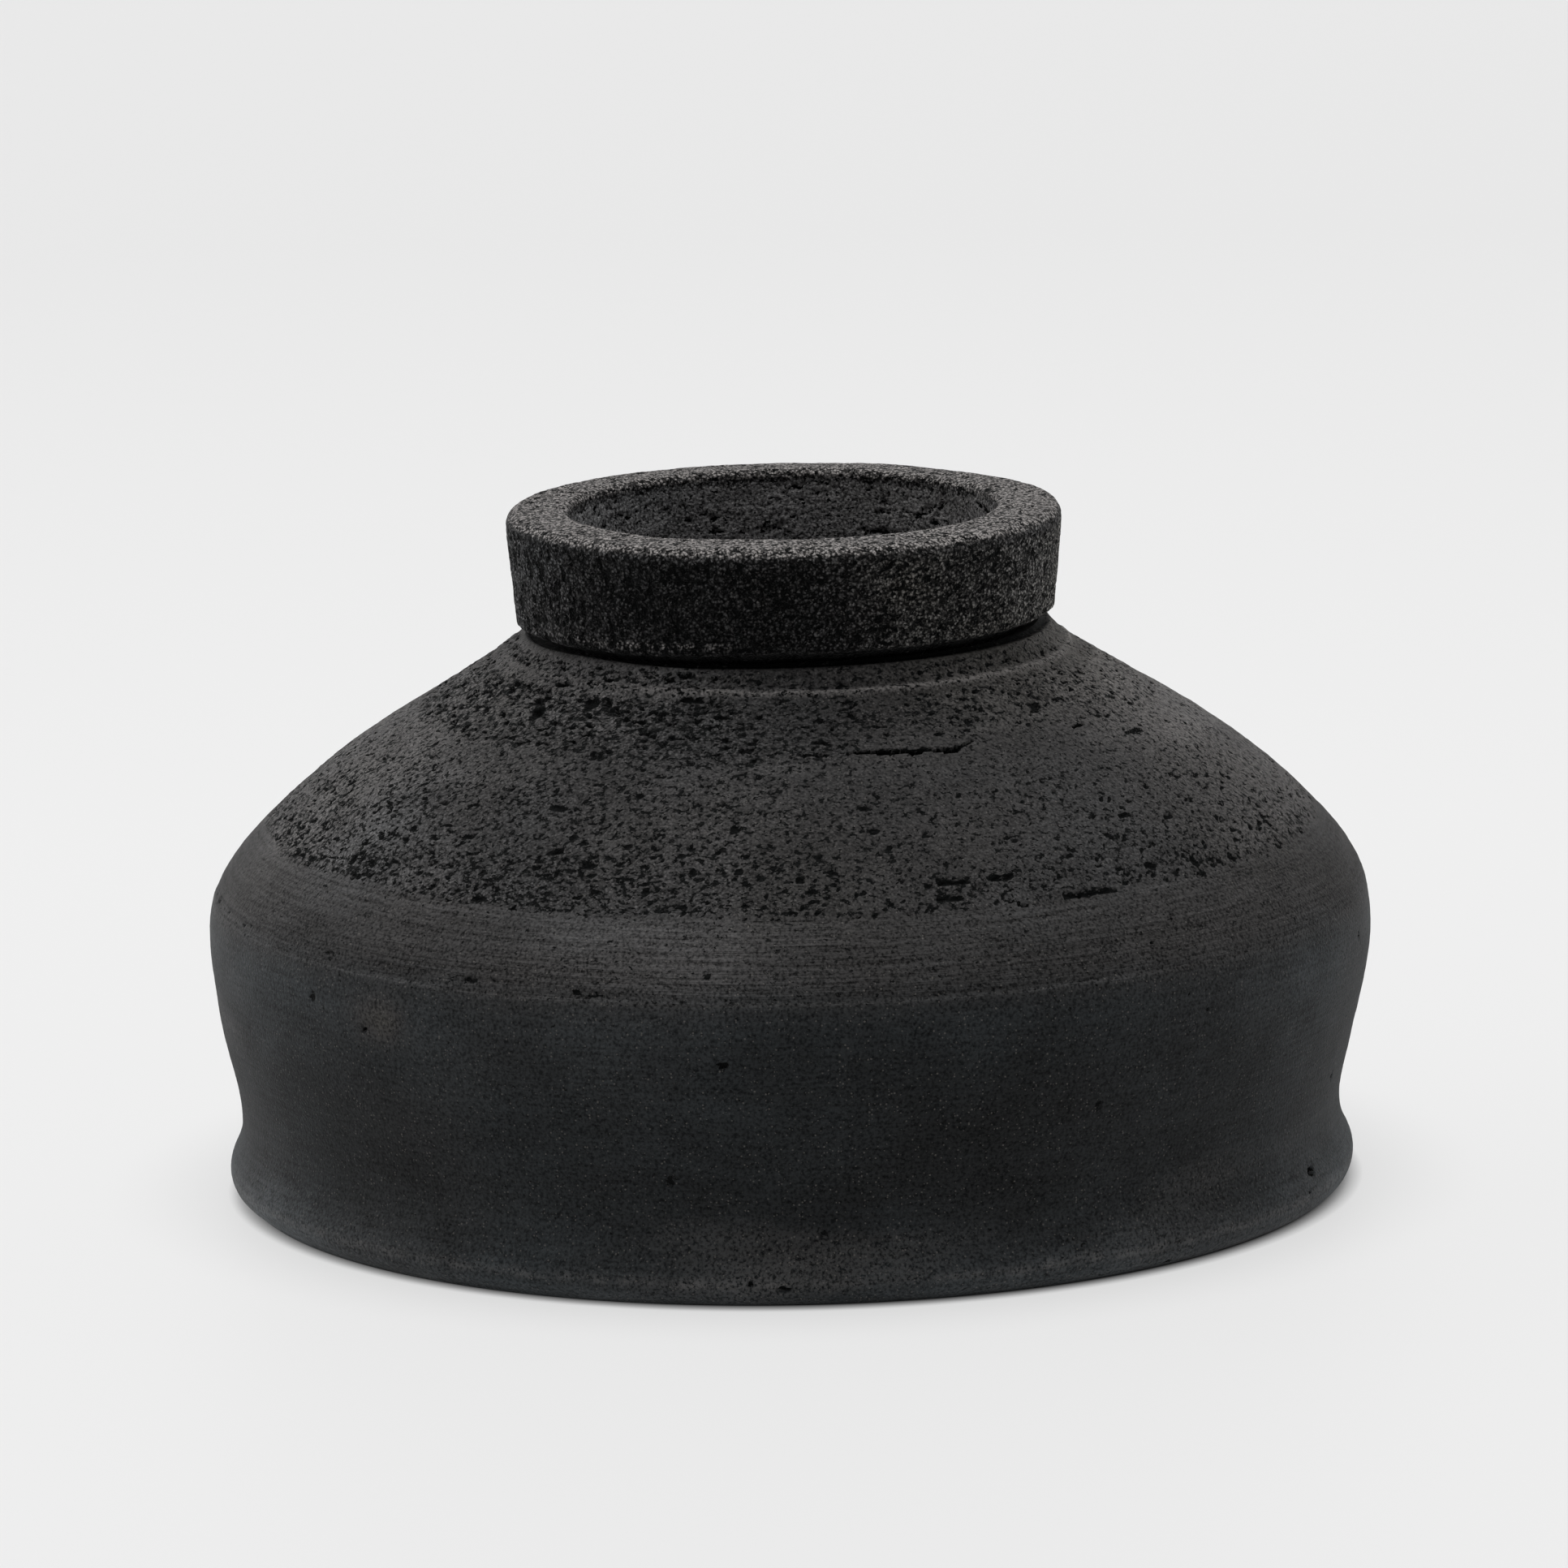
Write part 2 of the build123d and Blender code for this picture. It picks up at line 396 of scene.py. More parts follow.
def raised_lines(skin):
    """The raised line at the belly's foot and the ridge below the neck, and where the line runs."""
    up, side = skin.along, skin.degrees
    seam = BELLY_SEAM + 0.5 * noise(skin.drawn_out(2) / 40, 83)
    faded = 1 - 0.75 * turned(24, 50, side)
    uneven = 0.55 + 0.45 * rough(skin.drawn_out(3), 14, 2, 85)
    relief = faded * uneven * (0.26 * bump(seam, 0.8, up) - 0.22 * bump(seam + 1.7, 0.7, up))
    in_front = 1 - smooth_step(8, 40, np.abs(side + 2))
    relief = relief - 0.16 * in_front * bump(seam - 2.4, 0.5, up)
    ridge = RIDGE_SEAM + 0.5 * noise(skin.drawn_out(2) / 12, 89)
    unbroken = smooth_step(-0.5, 0.2, noise(skin.at / 7, 91))
    unbroken = unbroken * (1 - 0.5 * smooth_step(45, 70, np.abs(side)))
    return relief + (0.20 + 0.50 * unbroken) * bump(ridge, 0.95, up), seam


def torn_share(skin, above, left):
    """Share of the coarse clay that is torn, by the distance above its start."""
    patchy = 1 + 0.28 * rough(skin.at, 9, 2, 31) + 0.28 * rough(skin.drawn_out(6), 4, 2, 35)
    share = np.interp(above, PIT_HEIGHTS, PIT_SHARES) * patchy * (0.68 + 0.32 * left)
    beside_crack = smooth_step(5, 12, skin.degrees) * (1 - smooth_step(50, 66, skin.degrees))
    calm = bump(CRACK_SEAM, 6, skin.along) * beside_crack
    return np.clip(share * (1 - 0.7 * calm), 0, 0.6)


def all_tears(skin):
    """How far the tears that stand out lie under the surface, as a number below 0."""
    tears = np.zeros_like(skin.along)
    for number, (degrees, along, length, height, depth, drop) in enumerate(TEARS):
        tear = gash(skin, degrees, along, length, height, depth, drop, number)
        tears = np.minimum(tears, tear)
    return tears


def body_surface(skin):
    """How far the body's outside stands off its outline in mm, how hollow and how coarse it is."""
    up, side = skin.along, skin.degrees
    above = up - ROUGH_SEAM - 0.7 * noise(skin.drawn_out(3) / 9, 21)
    coarse = smooth_step(-0.6, 1.2, above) * (1 - smooth_step(81.5, 84.5, above))
    upper = smooth_step(50, 54, above)
    left = turned(25, -35, side)
    share = torn_share(skin, above, left)
    pitted = torn(skin.drawn_out(1.4), 1.6, 0.26 * share, 41, 0.6)

    relief = hand_wobble(skin)
    relief = relief + (0.03 + 0.3 * share) * rough(skin.at, 1.8, 2, 61)
    relief = relief + coarse * 0.08 * rough(skin.drawn_out(9), 1.5, 2, 67)
    relief = relief - pitted * (0.80 + 0.35 * upper * left)
    relief = relief + scraped_lines(skin, coarse)
    sparse = smooth_step(0.75, 1.0, pits(skin.at, 7.0, 0.05, 81, 0.1)) * (1 - coarse)
    raised, seam = raised_lines(skin)
    below_seam = 0.55 * bump(seam + 2.6, 1.4, up) * (side < -12)
    holes = pits(skin.drawn_out(1.6), 2.6, below_seam, 87, 0.2)
    relief = relief + raised - 0.5 * sparse - 0.45 * holes

    tears = all_tears(skin)
    wide = 1 - turned(-15, -55, side)
    groove = smooth_step(-1.0 - 1.6 * wide, -0.2 - 1.0 * wide, up - NECK_SEAM)
    relief = (relief + tears - GROOVE_DEPTH * groove) * smooth_step(-0.5, 3, up)
    # The hollow share is painted dark in the material: painted shade in the pits, holes, tears and the
    # groove under the collar.
    hollow = pitted + sparse + holes + groove - 1.5 * tears
    scraped = scraped_share(up, coarse)
    smooth = 1 - np.maximum(coarse, scraped)
    grit = (0.48 + 0.30 * left) * coarse + 1.944 * share + 0.1 * scraped - 0.35 * smooth
    return relief, hollow, grit


# Places along the collar's outline, from its lower edge
BEVEL_END = float(lengths(collar_line)[1])
SIDE_TOP = float(lengths(collar_line)[2])
RIM_END = float(lengths(collar_line)[-2])
LIP_TOP = BEVEL_END + 2.6


def pushed_up_lip(side):
    """Where a thin lip of clay was pushed up along the collar's lower edge, left of the front."""
    return smooth_step(-62, -50, side) * (1 - smooth_step(-22, -8, side))


def collar_surface(skin):
    """The same for the collar: coarse sides, a dragged rim and a wiped throat."""
    up, side = skin.along, skin.degrees
    outside = 1 - smooth_step(SIDE_TOP - 1, SIDE_TOP + 2, up)
    throat = smooth_step(RIM_END, RIM_END + 3, up)
    rim = np.clip(1 - outside - throat, 0, 1)
    left = turned(5, -28, side)
    patchy = 0.8 + 0.4 * rough(skin.at, 9, 2, 131)

    slanted = skin.at * np.array([1, 1, 0.6])
    slanted[..., 2] += 0.4 * np.sin(skin.turn) * rim_radius
    steep = torn(slanted, 1.6, 0.28 * patchy * left, 141)
    level = torn(skin.drawn_out(1.2), 1.5, (0.18 - 0.09 * left) * patchy, 147)
    dragged = torn(skin.drawn_out(2.0), 1.7, 0.12 * patchy, 151)
    wiped = torn(skin.drawn_out(2.2), 2.0, 0.13 * patchy, 157)
    pitted = outside * np.maximum(steep, 0.85 * level) + 0.7 * rim * dragged + throat * wiped

    relief = 0.30 * rough(skin.at, 45, 2, 103) + 0.10 * rough(skin.at, 8, 2, 107)
    relief = relief + (outside + 0.6 * rim) * 0.10 * rough(skin.at, 1.7, 3, 161)
    relief = relief + (rim + throat) * 0.06 * rough(skin.drawn_out(12), 1.2, 2, 167)
    wide = 1 - turned(-15, -55, side)
    groove = 1 - smooth_step(0.3 + 0.9 * wide, 1.4 + 1.2 * wide, up)
    proud = smooth_step(SIDE_TOP + 4, RIM_END - 3, up)
    proud = proud * (1 - smooth_step(RIM_END - 1, RIM_END + 1.5, up))
    relief = relief - 0.45 * pitted - GROOVE_DEPTH * bump(0, 1.6, up) + 0.35 * proud
    lip = pushed_up_lip(side) * (1 - smooth_step(LIP_TOP, LIP_TOP + 0.5, up))
    relief = relief + 0.35 * lip
    # The hollow share is painted dark in the material: painted shade in the pits and on the bevel
    # under the collar.
    hollow = 0.6 * pitted * (1 - 0.5 * rim) + groove
    return relief, hollow, outside + 0.9 * rim + 0.3 * throat


def inner_surface(skin):
    """The inside, wiped with the fingers: level furrows and a few pits."""
    relief = 0.5 * rough(skin.drawn_out(6), 16, 2, 201)
    relief = relief + 0.14 * rough(skin.drawn_out(12), 3.5, 2, 207)
    # These pits are painted darker in the material, as painted shade.
    hollow = 0.8 * pits(skin.drawn_out(2.5), 6.0, 0.35, 211, 0.3)
    return relief - 0.4 * hollow, hollow, 0.5 + 0 * hollow


def base_surface(skin):
    """The underside, which only ever lies above the ground."""
    pressed = 0.35 * (1 + rough(skin.at, 18, 2, 221)) + 0.15 * (1 + rough(skin.at, 3, 2, 223))
    edge = smooth_step(0, 4, foot_radius - 4.8 - skin.radius)
    return -np.clip(pressed, 0, 2) * edge, 0 * skin.along, 0 * skin.along


def plain_surface(skin):
    """A hidden face, where two pieces of clay were pressed together."""
    return 0 * skin.along, 0 * skin.along, 0 * skin.along


# ---------------------------------------------------------------- tints of the clay
# Each gives the share of light that the clay returns, its hue from cool 0 through plain 0.5
# to warm 1, and from 0 to 1 the pale dust on it, which in places is painted highlight and sheen.

PLAIN_ALBEDO = 0.036
PLAIN_DUST = 0.06

# Share of light that the body returns, by distance up the wall
BODY_HEIGHTS = [
    0, 5, 15, 30, 48, 60, 72, BELLY_SEAM, BELLY_SEAM + 6, ROUGH_SEAM - 8, ROUGH_SEAM + 4,
    CRACK_SEAM - 14, CRACK_SEAM - 4, CRACK_SEAM + 4, RIDGE_SEAM, NECK_SEAM,
]
BODY_ALBEDO = [
    0.037, 0.036, 0.025, 0.017, 0.016, 0.021, 0.029, 0.026, 0.024, 0.028, 0.038,
    0.034, 0.032, 0.028, 0.025, 0.032,
]


def plain_tint(skin, relief):
    """Clay with nothing of its own: slow patches of shade and hue, and a little dust."""
    patchy = 0.22 * rough(skin.at, 45, 2, 301) + 0.14 * rough(skin.drawn_out(1.5), 11, 3, 303)
    hue = 0.5 + 0.10 * rough(skin.at, 35, 2, 311)
    return PLAIN_ALBEDO * (1 + patchy), hue, np.full_like(hue, PLAIN_DUST)


def rubbed(relief):
    """How far a place stands out past 0.12 mm, up to 0.3 mm more."""
    return np.clip(relief - 0.12, 0, 0.3)


def body_shade(skin, smooth):
    """How much paler or darker the body is in each of its parts, as a share of its shade: partly
    patches of its own, partly painted shade on the front and under the collar, and painted sheen on
    the flanks.
    """
    up, side = skin.along, skin.degrees
    beside = np.abs(side)
    blotted = smooth_step(-0.4, 0.6, rough(skin.drawn_out(1.6), 22, 3, 321))
    foot = 1 - smooth_step(10, 24, up)
    scraped = smooth_step(BELLY_SEAM - 2, BELLY_SEAM + 6, up)
    scraped = scraped * (1 - smooth_step(ROUGH_SEAM - 4, ROUGH_SEAM, up))
    shoulder = smooth_step(ROUGH_SEAM - 2, ROUGH_SEAM + 4, up)
    upper = smooth_step(CRACK_SEAM + 2, CRACK_SEAM + 8, up)
    neck = smooth_step(RIDGE_SEAM - 1, NECK_SEAM - 3, up)
    smear = bump(31, 3, side + 0.1 * (up - 40)) * bump(36, 14, up)
    patches = [
        # Painted shade: the smooth wall darker over the middle of its front, with blotches of its own.
        -smooth * bump(10, 42, side) * (0.22 + 0.24 * blotted),
        # Painted sheen: the smooth wall paler on its flanks.
        0.45 * smooth * turned(40, 75, beside),
        0.45 * smear,
        foot * (0.30 - 0.75 * bump(0, 11, side)),
        scraped * (0.35 * bump(-12, 14, side) - 0.15 * bump(-42, 12, side)),
        -0.15 * (1 - smooth) * bump(12, 22, side),
        -0.20 * (1 - smooth) * turned(-8, 8, side),
        -0.16 * smooth_step(ROUGH_SEAM + 2, ROUGH_SEAM + 14, up) * bump(6, 16, side),
        # Painted light: the shoulder paler on its flanks, most on the left.
        shoulder * (0.55 * turned(-25, -60, side) + 0.25 * turned(40, 65, side)),
        0.28 * upper * turned(12, 30, beside),
        # Painted shade under the collar: the neck darker at the front.
        -0.45 * neck * bump(0, 22, side),
    ]
    return np.prod([1 + patch for patch in patches], axis=0)


def body_tint(skin, relief):
    """The outside of the body: cool and dark below, paler and a little warmer above."""
    albedo, hue, dust_and_highlight = plain_tint(skin, relief)
    up, side = skin.along, skin.degrees
    smooth = 1 - smooth_step(BELLY_SEAM - 8, BELLY_SEAM + 8, up)
    shoulder = smooth_step(ROUGH_SEAM - 2, ROUGH_SEAM + 4, up)
    albedo = albedo / PLAIN_ALBEDO * np.interp(up, BODY_HEIGHTS, BODY_ALBEDO)
    albedo = albedo * body_shade(skin, smooth)

    hue = hue - 0.48 * smooth * (0.6 + 0.4 * bump(5, 50, side))
    hue = hue + 0.30 * turned(0, 35, side) * smooth_step(CRACK_SEAM - 12, RIDGE_SEAM, up)
    stain = bump(-43.3, 3.2, side + 0.8 * noise(skin.at / 4, 331)) * bump(BELLY_SEAM - 10.5, 5.5, up)
    hue = hue + 0.8 * stain

    arris = bump(8.6 + 0.5 * noise(skin.at / 9, 335), 1.3, up)
    arris = arris * (0.7 + 0.6 * noise(skin.at / 3, 337))
    ridge = (1 - turned(-20, -45, side)) * bump(RIDGE_SEAM, 0.9, up)
    seam = bump(BELLY_SEAM + 0.2, 0.8, up)
    # Painted sheen: the pale share rises on the shoulder's flanks.
    dust_and_highlight = dust_and_highlight * (1 - 0.50 * smooth) + 0.15 * shoulder * turned(45, 80, np.abs(side))
    dust_and_highlight = dust_and_highlight + 0.07 * stain + 0.11 * arris + 0.03 * seam + 0.20 * ridge + 0.4 * rubbed(relief)
    return albedo, hue, dust_and_highlight


def collar_tint(skin, relief):
    """The collar: darker in front, partly as painted shade, and paler at the sides as painted sheen,
    with a rim pale with dust and painted highlight and a throat made pale as painted light.
    """
    albedo, hue, dust_and_highlight = plain_tint(skin, relief)
    up, side = skin.along, skin.degrees
    outside = 1 - smooth_step(SIDE_TOP - 2, SIDE_TOP + 2, up)
    throat = smooth_step(RIM_END - 0.8, RIM_END + 0.8, up)
    rim = smooth_step(SIDE_TOP + 0.8, SIDE_TOP + 4.2, up)
    rim = rim * (1 - smooth_step(RIM_END - 1.2, RIM_END + 0.4, up))
    right, edges = turned(-5, 30, side), turned(40, 75, np.abs(side))
    # Partly painted shade, partly the clay's own darker tone: the outside darker over the front and
    # round to the left.
    front = bump(-5, np.where(side < -5, 62, 28), side) * outside
    albedo = albedo * (1 + 0.30 * outside) * (1 - 0.80 * front)
    # Painted sheen: the outside paler on its flanks (edges); it is also paler right of the front.
    albedo = albedo * (1 + 1.2 * outside * (right + edges))
    # Painted light: the throat is made several times paler, most on its left, for light falling into
    # the mouth.
    albedo = albedo * (1 + throat * (4.8 - 1.5 * np.sin(skin.turn)))

    # Painted highlight along the top of the pushed-up lip.
    lip = pushed_up_lip(side) * bump(LIP_TOP - 0.8, 0.8, up)
    pink = bump(26, 5, side) * bump(rim_height - 11, 3.5, skin.height)
    chips = bump(7, 3, side) * bump(RIM_END - 2, 1.6, up)
    chips = chips * smooth_step(0, 0.5, noise(skin.at / 1.5, 341))
    hue = hue + (0.22 * right - 0.12 * front) * outside + 0.2 * pink + 0.3 * chips
    # The rim's pale share is partly worn dust and partly painted highlight.
    dust_and_highlight = dust_and_highlight + 2.6 * rim + 0.07 * throat + 0.3 * lip + 0.2 * pink + 1.5 * chips
    return albedo, hue, dust_and_highlight + 0.4 * rubbed(relief)


# ---------------------------------------------------------------- meshes

SEAM_FALL = math.tan(math.radians(20))     # drop of each seam for 1 mm inwards
SEAM_ROWS = 2                # plain rows across each seam
SEAM_WEIGHT = 1.0            # width given to each of them in the baked texture, in mm
HIDDEN_WEIGHT = 0.3          # texture given to a hidden face, for 1 given to the outside
TEXTURE_MARGIN = 0.006


def make_mesh(name, points, quads, triangles, colours, coarseness):
    """A smooth-shaded object from points in mm, with the clay's colours on its points."""
    corners = np.concatenate([quads.ravel(), triangles.ravel()])
    sizes = np.r_[np.full(len(quads), 4), np.full(len(triangles), 3)]
    mesh = bpy.data.meshes.new(name)
    mesh.vertices.add(len(points))
    mesh.vertices.foreach_set("co", (points * MM).ravel())
    mesh.loops.add(len(corners))
    mesh.loops.foreach_set("vertex_index", corners)
    mesh.polygons.add(len(sizes))
    mesh.polygons.foreach_set("loop_start", np.r_[0, np.cumsum(sizes)[:-1]])
    mesh.polygons.foreach_set("use_smooth", np.ones(len(sizes), bool))
    mesh.update(calc_edges=True)
    clay = mesh.attributes.new("clay", "FLOAT_COLOR", "POINT")
    clay.data.foreach_set("color", colours.ravel())
    coarse = mesh.attributes.new("coarse", "FLOAT", "POINT")
    coarse.data.foreach_set("value", coarseness)
    piece = bpy.data.objects.new(name, mesh)
    bpy.context.scene.collection.objects.link(piece)
    return piece


class Rows:
    """The rings of points that follow each other round one piece's section."""

    def __init__(self, count=TURN):
        self.count = count
        self.points, self.colours, self.coarse, self.steps, self.borders = [], [], [], [], []

    def add(self, line, surface, tint, along=0.0, weight=1.0):
        """Carve one stretch of the section, which starts at a distance along its outline."""
        skin = Skin(line, along + lengths(line), self.count)
        relief, hollow, coarse = surface(skin)
        step = np.gradient(line, axis=0)
        step /= np.linalg.norm(step, axis=1)[:, None]
        out, rise = step[:, 1:], -step[:, :1]
        carved = skin.at + relief[..., None] * np.stack([
            out * np.sin(skin.turn), -out * np.cos(skin.turn), rise + 0 * skin.turn
        ], -1)
        carved[..., 0] += sway(skin)
        carved[..., 2] += lift(skin)
        albedo, hue, dust_and_highlight = tint(skin, relief)
        colour = np.clip(np.stack([albedo, hue, hollow, dust_and_highlight], -1), 0, 1)
        if self.points:
            self.cross(carved[0], colour[0], coarse[0])
        self.borders.append(len(self.points))
        self.points += list(carved)
        self.colours += list(colour)
        self.coarse += list(coarse)
        self.steps += list(np.r_[np.diff(lengths(line)) * weight, SEAM_WEIGHT])
        self.borders.append(len(self.points) - 1)
        return self

    def cross(self, ring, colour, coarse):
        """Plain rows over a seam, from the last ring to the next."""
        last, last_colour, last_coarse = self.points[-1], self.colours[-1], self.coarse[-1]
        if np.linalg.norm(ring - last, axis=-1).mean() < 2:
            return
        for share in np.linspace(0, 1, SEAM_ROWS + 2)[1:-1]:
            self.points.append(last + share * (ring - last))
            self.colours.append(last_colour + share * (colour - last_colour))
            self.coarse.append(last_coarse + share * (coarse - last_coarse))
            self.steps.append(SEAM_WEIGHT)

    def quads(self, i, j):
        """The four corners of the face that follows each point along and up."""
        next_i, next_j = (i + 1) % len(self.points), (j + 1) % self.count
        corners = [i * self.count + j, i * self.count + next_j,
                   next_i * self.count + next_j, next_i * self.count + j]
        return np.stack(corners, -1).reshape(-1, 4)

    def ring(self, name):
        """One closed ring of clay: the last row joins the first."""
        self.cross(self.points[0], self.colours[0], self.coarse[0])
        i, j = np.meshgrid(np.arange(len(self.points)), np.arange(self.count), indexing="ij")
        piece = make_mesh(
            name, np.concatenate(self.points), self.quads(i, j), np.zeros((0, 3), int),
            np.concatenate(self.colours), np.concatenate(self.coarse),
        )
        self.mark_borders(piece.data)
        self.lay_out(piece.data, i, j)
        return piece

    def disc(self, name):
        """One closed slab: the first row and the last are filled in to the middle."""
        rows = len(self.points)
        i, j = np.meshgrid(np.arange(rows - 1), np.arange(self.count), indexing="ij")
        next_j = (j[0] + 1) % self.count
        first, last = rows * self.count, rows * self.count + 1
        under = np.stack([next_j, j[0], 0 * j[0] + first], -1)
        over = np.stack([j[0], next_j, 0 * j[0] + last], -1)
        over[:, :2] += (rows - 1) * self.count
        points = np.vstack([*self.points, self.points[0].mean(0), self.points[-1].mean(0)])
        colours = np.vstack([*self.colours, self.colours[0][0], self.colours[-1][0]])
        coarse = np.concatenate([*self.coarse, self.coarse[0][:1], self.coarse[-1][:1]])
        piece = make_mesh(name, points, self.quads(i, j), np.vstack([under, over]), colours, coarse)
        self.mark_borders(piece.data)
        return piece

    def mark_borders(self, mesh):
        """Shade the seams as edges, so that each face of the clay keeps its own light."""
        ends = np.zeros(len(mesh.edges) * 2, int)
        mesh.edges.foreach_get("vertices", ends)
        ring = ends.reshape(-1, 2) // self.count
        border = (ring[:, 0] == ring[:, 1]) & np.isin(ring[:, 0], self.borders)
        sharp = mesh.attributes.new("sharp_edge", "BOOLEAN", "EDGE")
        sharp.data.foreach_set("value", border)

    def lay_out(self, mesh, i, j):
        """Texture map for the bake: the ring is cut into strips, one above the other."""
        height = np.r_[0, np.cumsum(self.steps)]
        girth = 2 * math.pi * np.linalg.norm(self.points[0][:, :2], axis=1).mean()
        ideal = math.sqrt(girth / height[-1])
        strips = min((2, 3, 4, 6, 8), key=lambda count: abs(count - ideal))
        per_strip = self.count // strips
        strip, place = j // per_strip, j % per_strip
        across = np.stack([place, place + 1, place + 1, place], -1) / per_strip
        upward = np.stack([height[i], height[i], height[i + 1], height[i + 1]], -1) / height[-1]
        across = TEXTURE_MARGIN + (1 - 2 * TEXTURE_MARGIN) * across
        upward = (strip[..., None] + upward) / strips + TEXTURE_MARGIN * (1 - 2 * upward)
        layer = mesh.uv_layers.new(name="OFBake")
        layer.data.foreach_set("uv", np.stack([across, upward], -1).ravel())


def seam_inside(height):
    """Height at which a seam comes out inside: it falls inwards from this height outside."""
    radius = np.interp(height, body_line[:, 1], body_line[:, 0])
    above = inner_line[:, 1] - height + (radius - inner_line[:, 0]) * SEAM_FALL
    return float(np.interp(0, above, inner_line[:, 1]))


def wall_piece(name, low, high, spacing, inner_spacing=1.6):
    """A coil or band of the wall, between two seams, given by their heights outside."""
    outer = resample(between(body_line, low, high), spacing)
    inner = between(inner_line, seam_inside(low), seam_inside(high))
    inner = resample(inner, inner_spacing)[::-1]
    rows = Rows().add(outer, body_surface, body_tint, up_the_wall(low))
    return rows.add(inner, inner_surface, plain_tint, weight=HIDDEN_WEIGHT).ring(name)


SLAB_BEVEL = 8.0


def foot_piece(name):
    """The first coil, with its standing face, round the bevelled edge of the slab."""
    seam = top_of("foot_coil")
    slab_top = slab_radius - SLAB_BEVEL
    outer = resample(between(body_line, 0, seam), 0.57)
    inner = resample(between(inner_line, floor_height, seam_inside(seam)), 1.5)[::-1]
    inner = np.vstack([inner, [slab_top + 0.8, floor_height]])
    bevel = resample(np.array([(slab_top + 0.6, floor_height - 0.8), (slab_radius - 0.6, 0.8)]), 2.5)
    under = resample(np.array([(slab_radius + 0.6, 0), (foot_radius - 5.3, 0)]), 1.1)
    rows = Rows().add(outer, body_surface, body_tint)
    rows.add(inner, inner_surface, plain_tint, weight=HIDDEN_WEIGHT)
    rows.add(bevel, plain_surface, plain_tint, weight=HIDDEN_WEIGHT)
    return rows.add(under, base_surface, plain_tint, weight=HIDDEN_WEIGHT).ring(name)


def slab_piece(name):
    """The round floor slab, drawn from the middle of its underside to the middle of its top."""
    top = slab_radius - SLAB_BEVEL
    under = resample(np.array([(0.5, 0), (slab_radius, 0)]), 4.0)
    bevel = resample(np.array([(slab_radius, 0.6), (top + 0.4, floor_height - 0.6)]), 2.5)
    over = resample(np.array([(top, floor_height), (0.5, floor_height)]), 1.6)
    rows = Rows(SLAB_TURN).add(under, base_surface, plain_tint)
    rows.add(bevel, plain_surface, plain_tint)
    return rows.add(over, inner_surface, plain_tint).disc(name)


def collar_piece(name):
    """The thick collar, from the neck round its rim and down into the throat."""
    outer = np.vstack([
        resample(collar_line[:2], 0.6)[:-1],
        resample(collar_line[1:], 0.56),
    ])
    return Rows(COLLAR_TURN).add(outer, collar_surface, collar_tint).ring(name)


wall_pieces = [
    ("lower_wall", "foot_coil", 0.85),
    ("belly_band", "lower_wall", 0.40),
    ("lower_shoulder_coil", "belly_band", 0.70),
    ("upper_shoulder_coil", "lower_shoulder_coil", 0.41),
    ("neck_coil", "upper_shoulder_coil", 0.35),
]
clay = {"floor_slab": slab_piece("clay_floor"), "foot_coil": foot_piece("clay_foot")}
for node, below, spacing in wall_pieces:
    clay[node] = wall_piece("clay_" + node, top_of(below), top_of(node), spacing)
clay["collar_ring"] = collar_piece("clay_collar")


# ---------------------------------------------------------------- materials

def wire(tree, kind, inputs, **settings):
    """A shader node with its settings, and its inputs linked or set."""
    made = tree.nodes.new(kind)
    for key, value in settings.items():
        setattr(made, key, value)
    for key, value in inputs.items():
        if isinstance(value, bpy.types.NodeSocket):
            tree.links.new(value, made.inputs[key])
        else:
            made.inputs[key].default_value = value
    return made


def maths(tree, operation, *values, clamp=False):
    """A sum, product or other operation on sockets and numbers."""
    inputs = dict(enumerate(values))
    return wire(tree, "ShaderNodeMath", inputs, operation=operation, use_clamp=clamp).outputs[0]


def blend(tree, share, first, second, mode="MIX"):
    """Two colours blended by a share from 0 to 1."""
    made = wire(tree, "ShaderNodeMix", {"Factor": share}, data_type="RGBA", blend_type=mode)
    for socket, value in ((made.inputs[6], first), (made.inputs[7], second)):
        if isinstance(value, bpy.types.NodeSocket):
            tree.links.new(value, socket)
        else:
            socket.default_value = (*value, 1)
    return made.outputs[2]


def spread(tree, value, low, high, start=0.0, end=1.0):
    """A value stretched from one range to another, and held at its ends."""
    inputs = {"Value": value, "From Min": low, "From Max": high, "To Min": start, "To Max": end}
    return wire(tree, "ShaderNodeMapRange", inputs).outputs["Result"]


def grain(tree, place, size, detail=3.0, roughness=0.55):
    """Noise from 0 to 1 whose largest grains have this size in metres."""
    inputs = {"Vector": place, "Scale": 1 / size, "Detail": detail, "Roughness": roughness}
    return wire(tree, "ShaderNodeTexNoise", inputs).outputs[0]


def scaled(tree, place, factors):
    """Places stretched along the axes, so that noise is drawn out."""
    return wire(tree, "ShaderNodeVectorMath", {0: place, 1: factors}, operation="MULTIPLY").outputs[0]


def crumbs(tree, place, size):
    """Rise from 0 to 1 of ragged crumbs of clay packed side by side, and a tone for each."""
    stray = wire(tree, "ShaderNodeTexNoise", {"Vector": place, "Scale": 1.3 / size, "Detail": 2.0})
    shift = scaled(tree, stray.outputs["Color"], (size,) * 3)
    moved = wire(tree, "ShaderNodeVectorMath", {0: place, 1: shift}, operation="ADD")
    cells = wire(tree, "ShaderNodeTexVoronoi", {"Vector": moved.outputs[0], "Scale": 1 / size})
    tone = wire(tree, "ShaderNodeSeparateColor", {"Color": cells.outputs["Color"]}).outputs[0]
    return spread(tree, cells.outputs["Distance"], 0.25, 0.65, 1.0, 0.0), tone


